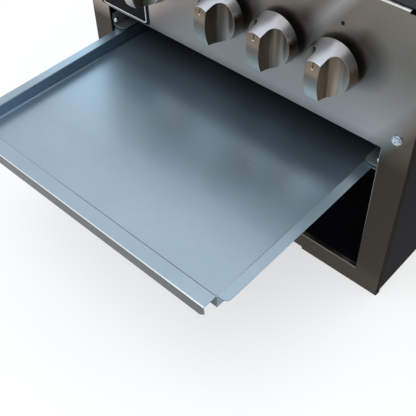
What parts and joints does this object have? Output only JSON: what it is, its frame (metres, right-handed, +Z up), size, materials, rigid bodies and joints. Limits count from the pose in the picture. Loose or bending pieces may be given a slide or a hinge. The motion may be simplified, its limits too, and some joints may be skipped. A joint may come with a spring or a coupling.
{
  "type": "table-top gas grill",
  "caption": "Table-top gas grill with folded stainless front, bar-grip gas knobs, rotary igniter, and a shallow galvanised drip tray that slides out on guides below the panel.",
  "frame": {"origin": "on the table, in the middle of the whole footprint with the drip tray pulled out as at rest", "axes": "+X to the viewer's right along the front, -Y out of the front towards the viewer, +Z up"},
  "size_m": [0.42, 0.6369, 0.3482],
  "materials": {
    "stainless": "brushed",
    "dark_paint": "satin",
    "galvanised": "semi-gloss",
    "zinc_plate": "bright",
    "black_enamel": "gloss",
    "cast_iron": "matt",
    "satin_nickel": "satin",
    "brass": "turned",
    "aluminium": "drawn",
    "burner_steel": "heat-tinted",
    "black_plastic": "moulded",
    "ceramic": "glazed",
    "lead_rubber": "silicone"
  },
  "bodies": {
    "cabinet": {"front_fascia": "stainless", "left_side_panel": "dark_paint", "right_side_panel": "dark_paint", "rear_panel": "dark_paint", "base_plate": "dark_paint", "tray_keeper_left": "galvanised", "tray_keeper_right": "galvanised", "tray_runner_left": "galvanised", "tray_runner_right": "galvanised", "guide_rivets": "zinc_plate", "fascia_screws": "zinc_plate", "rear_screws": "zinc_plate", "firebox": "black_enamel", "tent_ledges": "black_enamel", "cooking_grate": "cast_iron", "gas_manifold": "zinc_plate", "manifold_brackets": "zinc_plate", "injectors": "brass", "feed_pipe": "aluminium", "gas_inlet_fitting": "brass", "igniter_body": "black_plastic", "spark_electrode": "ceramic", "ignition_lead": "lead_rubber", "gas_valve_1": "aluminium", "burner_pipe_1": "aluminium", "burner_1": "burner_steel", "heat_tent_1": "burner_steel", "gas_valve_2": "aluminium", "burner_pipe_2": "aluminium", "burner_2": "burner_steel", "heat_tent_2": "burner_steel", "gas_valve_3": "aluminium", "burner_pipe_3": "aluminium", "burner_3": "burner_steel", "heat_tent_3": "burner_steel"},
    "tray": {"drip_tray": "galvanised"},
    "igniter_turn": {"igniter_knob": "satin_nickel", "igniter_spindle": "brass"},
    "valve_1_press": {"thrust_washer_1": "brass"},
    "valve_1_turn": {"knob_1": "satin_nickel", "spindle_1": "brass"},
    "valve_2_press": {"thrust_washer_2": "brass"},
    "valve_2_turn": {"knob_2": "satin_nickel", "spindle_2": "brass"},
    "valve_3_press": {"thrust_washer_3": "brass"},
    "valve_3_turn": {"knob_3": "satin_nickel", "spindle_3": "brass"}
  },
  "joints": [
    {"name": "tray_slide", "type": "slide", "parent": "cabinet", "child": "tray", "axis": [0, -1, 0], "range_m": [-0.205, 0.17]},
    {"name": "knob_1_press", "type": "slide", "parent": "cabinet", "child": "valve_1_press", "axis": [0, 1, 0], "range_m": [0, 0.0025], "stiffness_N_per_m": 2000, "springref_m": -0.002},
    {"name": "knob_1_turn", "type": "hinge", "parent": "valve_1_press", "child": "valve_1_turn", "pos_m": [-0.002, -0.1015, 0.265], "axis": [0, -1, 0], "range_deg": [0, 225]},
    {"name": "knob_2_press", "type": "slide", "parent": "cabinet", "child": "valve_2_press", "axis": [0, 1, 0], "range_m": [0, 0.0025], "stiffness_N_per_m": 2000, "springref_m": -0.002},
    {"name": "knob_2_turn", "type": "hinge", "parent": "valve_2_press", "child": "valve_2_turn", "pos_m": [0.061, -0.1015, 0.265], "axis": [0, -1, 0], "range_deg": [0, 225]},
    {"name": "knob_3_press", "type": "slide", "parent": "cabinet", "child": "valve_3_press", "axis": [0, 1, 0], "range_m": [0, 0.0025], "stiffness_N_per_m": 2000, "springref_m": -0.002},
    {"name": "knob_3_turn", "type": "hinge", "parent": "valve_3_press", "child": "valve_3_turn", "pos_m": [0.124, -0.1015, 0.265], "axis": [0, -1, 0], "range_deg": [0, 225]},
    {"name": "igniter_turn", "type": "hinge", "parent": "cabinet", "child": "igniter_turn", "pos_m": [-0.1, -0.1015, 0.265], "axis": [0, -1, 0], "range_deg": [-90, 0], "stiffness_Nm_per_rad": 0.15, "springref_deg": 11.46}
  ]
}
